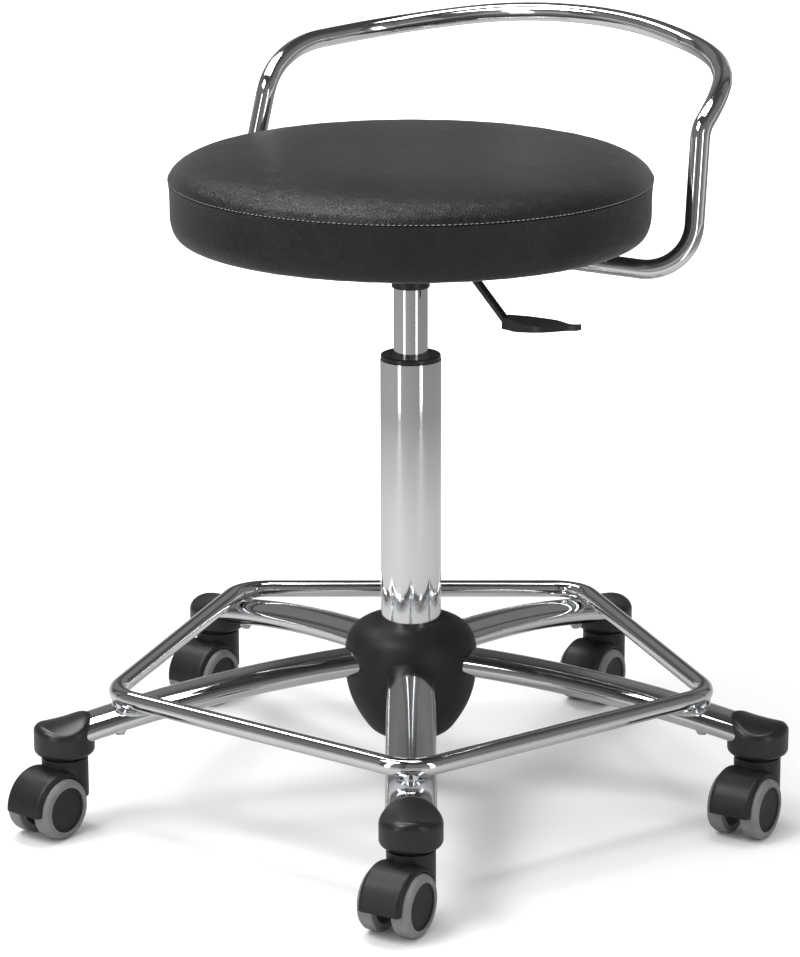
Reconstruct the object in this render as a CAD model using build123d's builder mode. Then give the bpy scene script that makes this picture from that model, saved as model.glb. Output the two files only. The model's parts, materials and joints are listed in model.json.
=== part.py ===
from build123d import *
import os
from math import cos, hypot, radians, sin, tan

# Round stool on five twin-wheel casters, with a gas lift, a foot ring and a bent-tube back hoop.
# Millimetres. The origin is on the floor under the column. One leg points along -Y, +Z is up.

os.makedirs("parts", exist_ok=True)

# ---- base: feet, legs, hub -------------------------------------------------------------
foot_azimuth = {"front": -90, "right": -18, "back_right": 54, "back_left": 126, "left": 198}
caster_turn = {"front": 240.5, "right": 238, "back_right": 238, "back_left": 235, "left": 231.6}
foot_circle = 296.0        # radius of the circle through the caster stems

leg_width = 40.0           # flat-oval tube, lying flat
leg_height = 22.0
leg_wall = 2.0
leg_root = (24.0, 117.0)   # radius and height of the leg's centre line, inner end
leg_middle = (160.0, 105.5)
leg_tip = (289.0, 80.2)

cap_radius = 24.8
cap_lip = 63.5             # height of the cap's lower lip
cap_crest = 91.9           # crest of the cap's saddle-shaped top, over the stem
cap_slope = 9.8            # degrees that the crest falls outwards
cap_hollow = 150.0         # radius of the crest's slight hollow
cap_arch = 44.0            # radius of the top across the leg

sleeve_radius = 29.0
sleeve_bottom = 64.0
sleeve_top = 140.0

# ---- foot ring -------------------------------------------------------------------------
ring_corner = 257.4        # centre to a corner of the pentagon, before rounding
ring_bend = 34.0
ring_height = 108.7
ring_tube = 7.5
boss_radius = 6.5

# ---- casters ---------------------------------------------------------------------------
wheel_radius = 25.0
wheel_inner = 8.2          # from the caster's middle plane to the wheel's inner face
wheel_outer = 22.7
disc_radius = 18.5
trail = 21.5               # stem axis to axle
axle_radius = 3.0
running_gap = 0.05
hood_radius = 29.8
hood_half_width = 18.5
hood_edge = 4.0            # rounding of the hood's rims
web_half = 7.2
neck_radius = 19.0
neck_bottom = 28.0
neck_top = 61.0
stem_radius = 5.5

# ---- column and gas lift ---------------------------------------------------------------
column_radius = 25.0
column_bore = 23.0
column_bottom = 60.0
column_top = 370.0
bush_rim = 24.6
bush_top = 374.5
cylinder_radius = 14.0
cylinder_bottom = 225.0
cone_start = 437.0
cone_top = 452.0
rod_radius = 5.0

# ---- seat ------------------------------------------------------------------------------
seat_underside = 473.0
board_radius = 176.0
board_bottom = 474.5
board_top = 486.0
plate_bottom = 471.5
housing_bottom = 448.0
seat_bolt_x = 88.0
seat_bolt_y = 58.0

# ---- back hoop, in the seat's own axes: across, backwards, height ------------------------
back_azimuth = 60.6        # the way the back faces, from +X
hoop_tube = 8.0
hoop_points = [(212.5, 79, 447), (203.5, 111, 560), (209.3, 145.5, 590), (156, 239, 600), (54.5, 281.5, 616)]
hoop_bends = [38, 25, 84, 143, 248]
hoop_start = 68.0          # distance from the seat's axis to each end of the tube
hoop_rise = 15.9           # how much higher the ends are than the lowest bends

# ---- lever -----------------------------------------------------------------------------
lever_radius = 3.5
lever_height = 461.0
lever_pivot = 20.0
paddle_height = 411.3


def foot_plane(azimuth, height=0.0):
    """Plane at a foot: x points outwards along the leg."""
    a = radians(azimuth)
    return Plane(
        origin=(foot_circle * cos(a), foot_circle * sin(a), height),
        x_dir=(cos(a), sin(a), 0),
        z_dir=(0, 0, 1),
    )


def radial_plane(azimuth):
    """Upright plane through the column and a leg: x outwards, y up."""
    a = radians(azimuth)
    return Plane(origin=(0, 0, 0), x_dir=(cos(a), sin(a), 0), z_dir=(sin(a), -cos(a), 0))


def save(part, name):
    part.label = name
    export_step(part, f"parts/{name}.step")


def leg_bar(azimuth, hollow):
    """One curved leg. A solid bar of the same outside also cuts the leg's openings."""
    with BuildPart() as bar:
        with BuildLine(radial_plane(azimuth)) as path:
            ThreePointArc(leg_root, leg_middle, leg_tip)
        with BuildSketch(Plane(origin=path.line @ 0, z_dir=path.line % 0, x_dir=(0, 0, 1))):
            Ellipse(leg_height / 2, leg_width / 2)
            if hollow:
                Ellipse(leg_height / 2 - leg_wall, leg_width / 2 - leg_wall, mode=Mode.SUBTRACT)
        sweep(path=path.wire())
    return bar.part


leg_solids = {name: leg_bar(azimuth, False) for name, azimuth in foot_azimuth.items()}

# ---- legs: mitred to each other and coped to the steel sleeve ----------------------------
mitre = 0.35
reach = foot_circle + 20
for name, azimuth in foot_azimuth.items():
    with BuildPart() as leg:
        add(leg_bar(azimuth, True))
        with BuildSketch(Plane(origin=(0, 0, 60), x_dir=(cos(radians(azimuth)), sin(radians(azimuth)), 0))):
            with BuildLine():
                Polyline((mitre, 0), (reach, (reach - mitre) * tan(radians(36))),
                         (reach, -(reach - mitre) * tan(radians(36))), close=True)
            make_face()
        extrude(amount=100, mode=Mode.INTERSECT)
        with BuildSketch(Plane.XY.offset(sleeve_bottom)):
            Circle(sleeve_radius)
        extrude(amount=sleeve_top - sleeve_bottom, mode=Mode.SUBTRACT)
    save(leg.part, f"leg_{name}")

# ---- steel sleeve that the legs are welded to --------------------------------------------
with BuildPart() as hub_sleeve:
    with BuildSketch(Plane.XY.offset(sleeve_bottom)):
        Circle(sleeve_radius)
        Circle(column_radius, mode=Mode.SUBTRACT)
    extrude(amount=sleeve_top - sleeve_bottom)
save(hub_sleeve.part, "hub_sleeve")

# ---- moulded hub cover: an acorn-shaped shell with an opening for each leg ---------------
with BuildPart() as hub_cover:
    with BuildSketch(Plane.XZ):
        with BuildLine():
            Line((column_radius, 145.2), (column_radius, 149.2))
            Line((column_radius, 149.2), (29, 149.4))
            Spline((29, 149.4), (36, 147.9), (42, 145.2), (47.6, 141.0), (52, 134.5), (54.6, 123.5),
                   (54.9, 111.0), (53.4, 95.0), (47.4, 76.0), (38.2, 60.4), (30, 52.2), (21.5, 47.4), (12, 45.6),
                   tangents=((1, -0.1), (-1, -0.08)))
            Polyline((12, 45.6), (12, 49.4), (20, 50.9))
            Spline((20, 50.9), (27.4, 55.2), (35.0, 62.8), (43.8, 77.8), (49.6, 96.0), (50.9, 111.0),
                   (50.6, 123.0), (48.4, 132.5), (44.8, 137.9), (39.8, 141.6), (34.4, 144.2), (28, 145.3),
                   tangents=((1, 0.25), (-1, 0.05)))
            Line((28, 145.3), (column_radius, 145.2))
        make_face()
    revolve(axis=Axis.Z)
    for bar in leg_solids.values():
        add(bar, mode=Mode.SUBTRACT)
save(hub_cover.part, "hub_cover")

# ---- caster stems, each standing in its leg's end cap ------------------------------------
with BuildPart() as caster_stems:
    for azimuth in foot_azimuth.values():
        with BuildSketch(foot_plane(azimuth, 46)):
            Circle(stem_radius)
        extrude(amount=38)
        with BuildSketch(foot_plane(azimuth, neck_top + 0.3)):
            Circle(8.5)
        extrude(amount=cap_lip + 2 - neck_top - 0.3)
save(caster_stems.part, "caster_stems")


# ---- moulded leg end caps ----------------------------------------------------------------
def end_cap(azimuth, bar):
    a = radians(azimuth)
    outwards = Vector(cos(a), sin(a), 0)
    lean = radians(cap_slope)
    # the crest curves about a line far above it, so the top is hollow along the leg and arched across it
    crest = outwards * foot_circle + Vector(0, 0, cap_crest)
    pivot = crest + (outwards * sin(lean) + Vector(0, 0, cos(lean))) * cap_hollow
    with BuildPart() as cap:
        with BuildSketch(foot_plane(azimuth, cap_lip)):
            Circle(cap_radius)
        extrude(amount=45)
        with Locations(Plane(origin=pivot, x_dir=outwards, z_dir=(sin(a), -cos(a), 0))):
            Torus(cap_hollow + cap_arch, cap_arch, mode=Mode.INTERSECT)
        fillet(cap.edges().group_by(Axis.Z)[0], 5)
        top_rim = cap.faces().filter_by(GeomType.TORUS).sort_by(Axis.Z)[-1].edges()
        fillet(top_rim, 6.5)
        add(bar, mode=Mode.SUBTRACT)
        with BuildSketch(foot_plane(azimuth, cap_lip)):
            Circle(stem_radius)
        extrude(amount=20.5, mode=Mode.SUBTRACT)
        with BuildSketch(foot_plane(azimuth, cap_lip)):
            Circle(8.5)
        extrude(amount=2, mode=Mode.SUBTRACT)
    return cap.part


with BuildPart() as leg_end_caps:
    for name, azimuth in foot_azimuth.items():
        add(end_cap(azimuth, leg_solids[name]))
save(leg_end_caps.part, "leg_end_caps")

# ---- foot ring: a closed pentagon of round tube ------------------------------------------
ring_corners = [
    (ring_corner * cos(radians(a)), ring_corner * sin(radians(a)), ring_height)
    for a in foot_azimuth.values()
]
with BuildPart() as footrest_ring:
    with BuildLine() as ring_path:
        FilletPolyline(*ring_corners, radius=ring_bend, close=True)
    with BuildSketch(Plane(origin=ring_path.line @ 0, z_dir=ring_path.line % 0)):
        Circle(ring_tube)
        Circle(ring_tube - 1.5, mode=Mode.SUBTRACT)
    sweep(path=ring_path.wire())
save(footrest_ring.part, "footrest_ring")

ring_on_leg = ring_corner - ring_bend * (1 / cos(radians(36)) - 1)
with BuildPart() as ring_bar:
    with BuildSketch(Plane(origin=ring_path.line @ 0, z_dir=ring_path.line % 0)):
        Circle(ring_tube)
    sweep(path=ring_path.wire())

# ---- welded bosses between the ring and the legs -----------------------------------------
with BuildPart() as footrest_bosses:
    for azimuth in foot_azimuth.values():
        with BuildSketch(foot_plane(azimuth, 92)):
            with Locations((ring_on_leg - foot_circle, 0)):
                Circle(boss_radius)
        extrude(amount=ring_height - 92)
    for bar in leg_solids.values():
        add(bar, mode=Mode.SUBTRACT)
    add(ring_bar.part, mode=Mode.SUBTRACT)
save(footrest_bosses.part, "footrest_bosses")

# ---- dome nuts under the legs, on the bosses' studs --------------------------------------
with BuildPart() as footrest_nuts:
    for azimuth in foot_azimuth.values():
        with BuildSketch(foot_plane(azimuth, 76)):
            with Locations((ring_on_leg - foot_circle, 0)):
                RegularPolygon(5.2, 6)
        extrude(amount=9)
        with BuildSketch(foot_plane(azimuth, 74.4)):
            with Locations((ring_on_leg - foot_circle, 0)):
                Circle(3.8)
        extrude(amount=1.6)
    for bar in leg_solids.values():
        add(bar, mode=Mode.SUBTRACT)
save(footrest_nuts.part, "footrest_nuts")

# ---- casters -----------------------------------------------------------------------------
for name, azimuth in foot_azimuth.items():
    stem = foot_plane(azimuth).origin
    t = radians(caster_turn[name])
    trail_dir = Vector(cos(t), sin(t), 0)
    axle_dir = Vector(-sin(t), cos(t), 0)
    axle_centre = Vector(stem.X, stem.Y, wheel_radius) + trail_dir * trail
    middle = Plane(origin=axle_centre, x_dir=-trail_dir, z_dir=axle_dir)

    # hood: a rounded shell over the treads, a web between the wheels and a neck under the cap
    with BuildPart() as hood:
        with BuildSketch(middle):
            Circle(hood_radius)
            with BuildLine():
                Polyline((-40, -1.6), (40, 6.4), (40, -40), (-40, -40), close=True)
            make_face(mode=Mode.SUBTRACT)
        extrude(amount=hood_half_width, both=True)
        fillet(hood.edges().filter_by(GeomType.CIRCLE), hood_edge)
        with BuildSketch(Plane(origin=(stem.X, stem.Y, neck_bottom))):
            Circle(neck_radius)
        extrude(amount=neck_top - neck_bottom)
        for way in (1, -1):
            with BuildSketch(middle.offset(way * web_half)):
                Circle(wheel_radius + 0.9)
            extrude(amount=way * 30, mode=Mode.SUBTRACT)
        with BuildSketch(middle):
            Circle(axle_radius + 4)
        extrude(amount=web_half, both=True)
        with BuildSketch(middle):
            Circle(axle_radius)
        extrude(amount=web_half, both=True, mode=Mode.SUBTRACT)
        with BuildSketch(Plane(origin=(stem.X, stem.Y, 45.7))):
            Circle(stem_radius + running_gap)
        extrude(amount=30, mode=Mode.SUBTRACT)
    save(hood.part, f"caster_{name}_hood")

    with BuildPart() as axle:
        with BuildSketch(middle):
            Circle(axle_radius)
        extrude(amount=18.6, both=True)
    save(axle.part, f"caster_{name}_axle")

    for side, way in (("a", 1), ("b", -1)):
        inner_face = middle.offset(way * wheel_inner)
        width = wheel_outer - wheel_inner
        with BuildPart() as disc:
            with BuildSketch(inner_face):
                Circle(disc_radius)
            extrude(amount=way * (width - 0.6))
            outer_rim = disc.faces().sort_by(Axis(axle_centre, axle_dir * way))[-1].edges()
            chamfer(outer_rim, 0.8)
            with BuildSketch(middle.offset(way * (wheel_outer - 0.6))):
                Circle(disc_radius - 1.8)
            extrude(amount=-way * 0.5, mode=Mode.SUBTRACT)
            with BuildSketch(inner_face):
                Circle(axle_radius + running_gap)
            extrude(amount=way * 11, mode=Mode.SUBTRACT)
        save(disc.part, f"caster_{name}_disc_{side}")

        with BuildPart() as tyre:
            with BuildSketch(inner_face):
                Circle(wheel_radius)
                Circle(disc_radius, mode=Mode.SUBTRACT)
            extrude(amount=way * width)
            rims = tyre.edges().filter_by(GeomType.CIRCLE).sort_by(SortBy.RADIUS)[-2:]
            rims = rims.sort_by(Axis(axle_centre, axle_dir * way))
            fillet(rims[-1], 4.5)
            fillet(tyre.edges().filter_by(GeomType.CIRCLE).sort_by(SortBy.RADIUS)[-2:]
                   .sort_by(Axis(axle_centre, axle_dir * way))[0], 1.5)
        save(tyre.part, f"caster_{name}_tyre_{side}")

# ---- column tube with a closed base ------------------------------------------------------
with BuildPart() as column_tube:
    with BuildSketch(Plane.XY.offset(column_bottom)):
        Circle(column_radius)
        Circle(rod_radius + 0.1, mode=Mode.SUBTRACT)
    extrude(amount=4)
    with BuildSketch(Plane.XY.offset(column_bottom + 4)):
        Circle(column_radius)
        Circle(column_bore, mode=Mode.SUBTRACT)
    extrude(amount=column_top - column_bottom - 4)
save(column_tube.part, "column_tube")

# ---- guide bush: rim on the tube's end, sleeve inside, notched lower edge -----------------
with BuildPart() as guide_bush:
    with BuildSketch(Plane.XY.offset(column_top)):
        Circle(bush_rim)
    extrude(amount=bush_top - column_top)
    fillet(guide_bush.edges().group_by(Axis.Z)[-1], 1.2)
    with BuildSketch(Plane.XY.offset(column_top - 60)):
        Circle(column_bore)
    extrude(amount=60)
    with BuildSketch(Plane.XY.offset(column_top - 60)):
        Circle(cylinder_radius + running_gap)
    extrude(amount=80, mode=Mode.SUBTRACT)
    with BuildSketch(Plane.XY.offset(column_top)):
        with PolarLocations(bush_rim, 24):
            Circle(0.9)
    extrude(amount=2.2, mode=Mode.SUBTRACT)
save(guide_bush.part, "guide_bush")

# ---- thrust bearing on the column's base --------------------------------------------------
with BuildPart() as thrust_bearing:
    with BuildSketch(Plane.XY.offset(column_bottom + 4)):
        Circle(14)
        Circle(rod_radius + 0.1, mode=Mode.SUBTRACT)
    extrude(amount=5)
save(thrust_bearing.part, "thrust_bearing")

# ---- piston rod, with its shoulder on the bearing, and the clip under the base ------------
with BuildPart() as piston_rod:
    with BuildSketch(Plane.XY.offset(column_bottom - 7)):
        Circle(rod_radius)
    extrude(amount=282)
    with BuildSketch(Plane.XY.offset(column_bottom + 9.3)):
        Circle(9)
    extrude(amount=4)
    with BuildSketch(Plane.XY.offset(column_bottom + 262)):
        Circle(11.9)
    extrude(amount=12)
    with BuildSketch(Plane.XY.offset(column_bottom - 3.6)):
        Circle(rod_radius + 1)
        Circle(rod_radius - 1, mode=Mode.SUBTRACT)
    extrude(amount=1.5, mode=Mode.SUBTRACT)
save(piston_rod.part, "piston_rod")

with BuildPart() as retaining_clip:
    with BuildSketch(Plane.XY.offset(column_bottom - 3.6)):
        Circle(rod_radius + 3.5)
        Circle(rod_radius - 1, mode=Mode.SUBTRACT)
        with Locations((rod_radius, 0)):
            Rectangle(8, 5, mode=Mode.SUBTRACT)
    extrude(amount=1.5)
save(retaining_clip.part, "retaining_clip")

# ---- gas cylinder: straight below, tapered in the seat mechanism ---------------------------
cone_radius = cylinder_radius - 0.8
with BuildPart() as gas_cylinder:
    with BuildSketch(Plane.XZ):
        with BuildLine():
            Polyline(
                (rod_radius + 0.1, cylinder_bottom), (cylinder_radius - 1, cylinder_bottom),
                (cylinder_radius, cylinder_bottom + 1), (cylinder_radius, cone_start),
                (cone_radius, cone_top), (4.1, cone_top), (4.1, cone_top - 8), (12, cone_top - 12),
                (12, cylinder_bottom + 8), (rod_radius + 0.1, cylinder_bottom + 8), close=True)
        make_face()
    revolve(axis=Axis.Z)
save(gas_cylinder.part, "gas_cylinder")

with BuildPart() as release_button:
    with BuildSketch(Plane.XY.offset(cone_top - 6)):
        Circle(4.0)
    extrude(amount=11.5)
    fillet(release_button.edges().group_by(Axis.Z)[-1], 1)
save(release_button.part, "release_button")

# ---- seat axes: x across, y backwards ------------------------------------------------------
back = radians(back_azimuth)
across_dir = Vector(sin(back), -cos(back), 0)
back_dir = Vector(cos(back), sin(back), 0)


def seat_plane(height):
    return Plane(origin=(0, 0, height), x_dir=across_dir, z_dir=(0, 0, 1))


def seat_point(across, backwards, height):
    return across_dir * across + back_dir * backwards + Vector(0, 0, height)


# ---- mechanism housing with its taper socket -----------------------------------------------
with BuildPart() as mechanism_housing:
    with BuildSketch(seat_plane(housing_bottom)):
        with Locations((4, 0)):
            RectangleRounded(68, 54, 8)
    extrude(amount=plate_bottom - housing_bottom)
    with BuildSketch(seat_plane(housing_bottom + 3)):
        with Locations((4, 0)):
            RectangleRounded(62, 48, 5)
    extrude(amount=plate_bottom - housing_bottom, mode=Mode.SUBTRACT)
    with BuildSketch(Plane.XY.offset(cone_start - 1)):
        Circle(18)
    extrude(amount=cone_top - cone_start + 1)
    with BuildSketch(Plane.XY.offset(430)):
        Circle(15.6)
    extrude(amount=8)
    fillet(mechanism_housing.edges().group_by(Axis.Z)[0], 1)
    with BuildSketch(Plane.XZ):
        with BuildLine():
            Polyline((0, 420), (cylinder_radius, 420), (cylinder_radius, cone_start),
                     (cone_radius, cone_top), (cone_radius, cone_top + 1), (0, cone_top + 1), close=True)
        make_face()
    revolve(axis=Axis.Z, mode=Mode.SUBTRACT)
    # slot for the lever, and the holes for its pivot pin
    with BuildSketch(Plane(origin=seat_point(30, 0, 461.5), x_dir=back_dir, z_dir=across_dir)):
        Rectangle(9, 17)
    extrude(amount=12, mode=Mode.SUBTRACT)
    with BuildSketch(Plane(origin=seat_point(lever_pivot, 0, lever_height), x_dir=across_dir, z_dir=back_dir)):
        Circle(2)
    extrude(amount=40, both=True, mode=Mode.SUBTRACT)
save(mechanism_housing.part, "mechanism_housing")

with BuildPart() as lever_pivot_pin:
    with BuildSketch(Plane(origin=seat_point(lever_pivot, 0, lever_height), x_dir=across_dir, z_dir=back_dir)):
        Circle(2)
    extrude(amount=28, both=True)
save(lever_pivot_pin.part, "lever_pivot_pin")

# ---- lever: bent rod with an eye on the pivot, and a flat paddle ---------------------------
lever_plane = Plane(origin=(0, 0, 0), x_dir=across_dir, z_dir=-back_dir)
with BuildPart() as lever_rod:
    with BuildLine(lever_plane) as lever_path:
        FilletPolyline((-4, lever_height), (43, lever_height), (88, paddle_height), (104, paddle_height), radius=9)
    with BuildSketch(Plane(origin=lever_path.line @ 0, z_dir=lever_path.line % 0)):
        Circle(lever_radius)
    sweep(path=lever_path.wire())
    with BuildSketch(Plane(origin=seat_point(lever_pivot, 0, lever_height), x_dir=across_dir, z_dir=back_dir)):
        Circle(5)
    extrude(amount=4, both=True)
    with BuildSketch(Plane(origin=seat_point(lever_pivot, 0, lever_height), x_dir=across_dir, z_dir=back_dir)):
        Circle(2 + running_gap)
    extrude(amount=6, both=True, mode=Mode.SUBTRACT)
save(lever_rod.part, "lever_rod")

with BuildPart() as lever_paddle:
    # plan: a wide blade that ends in a narrow tab
    with BuildSketch(seat_plane(paddle_height - 8)):
        with BuildLine():
            Line((86.5, -6), (86.5, 6))
            Spline((86.5, 6), (98, 10.5), (114, 14.2), (128, 13.4), (137, 8.2), (144, 4.4), (151.5, 3.8),
                   tangents=((1, 0.25), (1, 0)))
            ThreePointArc((151.5, 3.8), (154.5, 0), (151.5, -3.8))
            Spline((151.5, -3.8), (144, -4.4), (137, -8.2), (128, -13.4), (114, -14.2), (98, -10.5), (86.5, -6),
                   tangents=((-1, 0), (-1, 0.25)))
        make_face()
    extrude(amount=16)
    # side view: thick at the rod, thin along the blade, slightly dished on top
    with BuildSketch(lever_plane):
        with BuildLine():
            Line((85, paddle_height - 4.9), (85, paddle_height + 4.7))
            Spline((85, paddle_height + 4.7), (104, paddle_height + 3.6), (128, paddle_height + 2.8),
                   (156, paddle_height + 5.2))
            Line((156, paddle_height + 5.2), (156, paddle_height + 0.9))
            Spline((156, paddle_height + 0.9), (140, paddle_height - 0.9), (122, paddle_height - 2.4),
                   (104, paddle_height - 4.4), (85, paddle_height - 4.9))
        make_face()
    extrude(amount=20, both=True, mode=Mode.INTERSECT)
    add(lever_rod.part, mode=Mode.SUBTRACT)
save(lever_paddle.part, "lever_paddle")

# ---- seat plate, bolts and board -----------------------------------------------------------
with BuildPart() as seat_plate:
    with BuildSketch(seat_plane(plate_bottom)):
        RectangleRounded(214, 150, 14)
        with GridLocations(2 * seat_bolt_x, 2 * seat_bolt_y, 2, 2):
            Circle(3, mode=Mode.SUBTRACT)
    extrude(amount=board_bottom - plate_bottom)
save(seat_plate.part, "seat_plate")

with BuildPart() as seat_board:
    with BuildSketch(seat_plane(board_bottom)):
        Circle(board_radius)
        with GridLocations(2 * seat_bolt_x, 2 * seat_bolt_y, 2, 2):
            Circle(3, mode=Mode.SUBTRACT)
    extrude(amount=board_top - board_bottom)
save(seat_board.part, "seat_board")

with BuildPart() as seat_bolts:
    with BuildSketch(seat_plane(plate_bottom - 4.5)):
        with GridLocations(2 * seat_bolt_x, 2 * seat_bolt_y, 2, 2):
            RegularPolygon(5.5, 6)
    extrude(amount=4.5)
    with BuildSketch(seat_plane(plate_bottom)):
        with GridLocations(2 * seat_bolt_x, 2 * seat_bolt_y, 2, 2):
            Circle(3)
    extrude(amount=board_top - plate_bottom)
save(seat_bolts.part, "seat_bolts")

# ---- padded seat: foam in its cover, one soft solid ----------------------------------------
with BuildPart() as seat_cushion:
    with BuildSketch(Plane.XZ):
        with BuildLine():
            Polyline((0, 542), (0, board_top), (board_radius, board_top), (board_radius, seat_underside),
                     (180, seat_underside))
            Spline((180, seat_underside), (188.5, 476.2), (193.2, 485.5), (194.3, 499), (194.5, 511), (195.2, 520),
                   (192, 527), (184.5, 532.5), (173, 536.6), (157, 539.6), (136, 542),
                   tangents=((1, 0.05), (-1, 0)))
            Line((136, 542), (0, 542))
        make_face()
    revolve(axis=Axis.Z)
save(seat_cushion.part, "seat_cushion")

# ---- back hoop: one bent tube, both ends clamped under the seat plate ----------------------
across_1, back_1, height_1 = hoop_points[0]
end_run = hypot(across_1, back_1) - hoop_start
start_share = hoop_start / hypot(across_1, back_1)
start = (across_1 * start_share, back_1 * start_share, height_1 + hoop_rise)
right_side = [start] + hoop_points
left_side = [(-x, y, z) for x, y, z in reversed(right_side)]
hoop_corners = [seat_point(*p) for p in right_side + left_side]
with BuildPart() as backrest_tube:
    with BuildLine() as hoop_path:
        FilletPolyline(*hoop_corners, radius=hoop_bends + hoop_bends[::-1])
    with BuildSketch(Plane(origin=hoop_path.line @ 0, z_dir=hoop_path.line % 0)):
        Circle(hoop_tube)
        Circle(hoop_tube - 1.5, mode=Mode.SUBTRACT)
    sweep(path=hoop_path.wire())
save(backrest_tube.part, "backrest_tube")


def hoop_end_plane(way, distance):
    """Plane on the axis of a sloping end, a distance from the seat's axis: x along the tube, z square to it."""
    out = seat_point(way * across_1, back_1, 0).normalized()
    along = (out * end_run - Vector(0, 0, hoop_rise)).normalized()
    height = height_1 + hoop_rise * (1 - (distance - hoop_start) / end_run)
    return Plane(origin=out * distance + Vector(0, 0, height), x_dir=along, z_dir=Vector(0, 0, 1) - along * along.Z)


# brackets: saddles between the tube's ends and the seat plate, two bolts in each
with BuildPart() as backrest_brackets:
    for way in (1, -1):
        middle_of_end = hoop_end_plane(way, 86)
        out = seat_point(way * across_1, back_1, 0).normalized()
        floor_height = middle_of_end.origin.Z - 2
        with BuildSketch(Plane(origin=out * 86 + Vector(0, 0, floor_height), x_dir=out)):
            RectangleRounded(36, 24, 4)
        extrude(amount=plate_bottom - floor_height)
        with BuildSketch(Plane(origin=hoop_end_plane(way, 50).origin, z_dir=middle_of_end.x_dir)):
            Circle(hoop_tube)
        extrude(amount=80, mode=Mode.SUBTRACT)
save(backrest_brackets.part, "backrest_brackets")

with BuildPart() as backrest_bolts:
    for way in (1, -1):
        for distance in (77, 95):
            with BuildSketch(hoop_end_plane(way, distance).offset(-hoop_tube - 2.2)):
                RegularPolygon(4.6, 6)
            extrude(amount=2.2)
save(backrest_bolts.part, "backrest_bolts")
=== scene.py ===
import json
import math

import bmesh
import bpy
from mathutils import Matrix, Vector
from mathutils.bvhtree import BVHTree


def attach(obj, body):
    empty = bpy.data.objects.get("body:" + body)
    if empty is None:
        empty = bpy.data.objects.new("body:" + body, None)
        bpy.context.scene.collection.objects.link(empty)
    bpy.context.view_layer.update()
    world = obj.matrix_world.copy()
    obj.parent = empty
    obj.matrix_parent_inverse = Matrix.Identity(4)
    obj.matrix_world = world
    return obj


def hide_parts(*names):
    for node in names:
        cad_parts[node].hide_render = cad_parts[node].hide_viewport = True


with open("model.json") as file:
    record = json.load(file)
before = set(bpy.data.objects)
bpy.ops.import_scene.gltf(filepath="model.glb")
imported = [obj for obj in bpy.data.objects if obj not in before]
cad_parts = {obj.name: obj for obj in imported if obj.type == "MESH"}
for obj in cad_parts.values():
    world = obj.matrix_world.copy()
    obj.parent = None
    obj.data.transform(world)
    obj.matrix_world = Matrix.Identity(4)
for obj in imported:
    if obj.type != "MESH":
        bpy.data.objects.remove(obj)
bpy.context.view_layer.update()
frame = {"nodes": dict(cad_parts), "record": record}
print("frame loaded,", len(frame["nodes"]), "nodes")

scene = bpy.context.scene
nodes = frame["nodes"]


# small helpers for node trees

def addNode(tree, kind, **settings):
    node = tree.nodes.new(kind)
    for key, value in settings.items():
        setattr(node, key, value)
    return node


def startGroup(name, inputs, outputs):
    group = bpy.data.node_groups.new(name, "ShaderNodeTree")
    for label, value in inputs:
        socket = group.interface.new_socket(name=label, in_out="INPUT", socket_type="NodeSocketFloat")
        socket.default_value = value
    for label, kind in outputs:
        group.interface.new_socket(name=label, in_out="OUTPUT", socket_type=kind)
    return group, addNode(group, "NodeGroupInput"), addNode(group, "NodeGroupOutput")


def addMath(tree, operation, first, second=None, clamp=False):
    node = addNode(tree, "ShaderNodeMath", operation=operation, use_clamp=clamp)
    for socket, value in zip(node.inputs, (first, second)):
        if value is None:
            continue
        if isinstance(value, bpy.types.NodeSocket):
            tree.links.new(value, socket)
        else:
            socket.default_value = value
    return node.outputs[0]


def addRange(tree, value, fromLow, fromHigh, toLow, toHigh):
    node = addNode(tree, "ShaderNodeMapRange")
    limits = (("From Min", fromLow), ("From Max", fromHigh), ("To Min", toLow), ("To Max", toHigh))
    for key, number in limits:
        if isinstance(number, bpy.types.NodeSocket):
            tree.links.new(number, node.inputs[key])
        else:
            node.inputs[key].default_value = number
    tree.links.new(value, node.inputs["Value"])
    return node.outputs[0]


# shared surface effects

def makeMouldedGrain():
    # fine spark-eroded texture of moulded plastic, with slow waves under it
    group, given, out = startGroup(
        "mouldedGrain",
        [("Scale", 900.0), ("Waves", 40.0), ("Wave Share", 0.3)],
        [("Height", "NodeSocketFloat"), ("Fleck", "NodeSocketFloat")],
    )
    place = addNode(group, "ShaderNodeTexCoord")
    fine = addNode(group, "ShaderNodeTexNoise")
    fine.inputs["Detail"].default_value = 3.0
    fine.inputs["Roughness"].default_value = 0.6
    slow = addNode(group, "ShaderNodeTexNoise")
    slow.inputs["Detail"].default_value = 2.0
    for texture, label in ((fine, "Scale"), (slow, "Waves")):
        group.links.new(place.outputs["Object"], texture.inputs["Vector"])
        group.links.new(given.outputs[label], texture.inputs["Scale"])
    share = addMath(group, "MULTIPLY", slow.outputs["Fac"], given.outputs["Wave Share"])
    group.links.new(addMath(group, "ADD", fine.outputs["Fac"], share), out.inputs["Height"])
    group.links.new(addRange(group, slow.outputs["Fac"], 0.35, 0.68, 0.0, 1.0), out.inputs["Fleck"])
    return group


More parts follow.
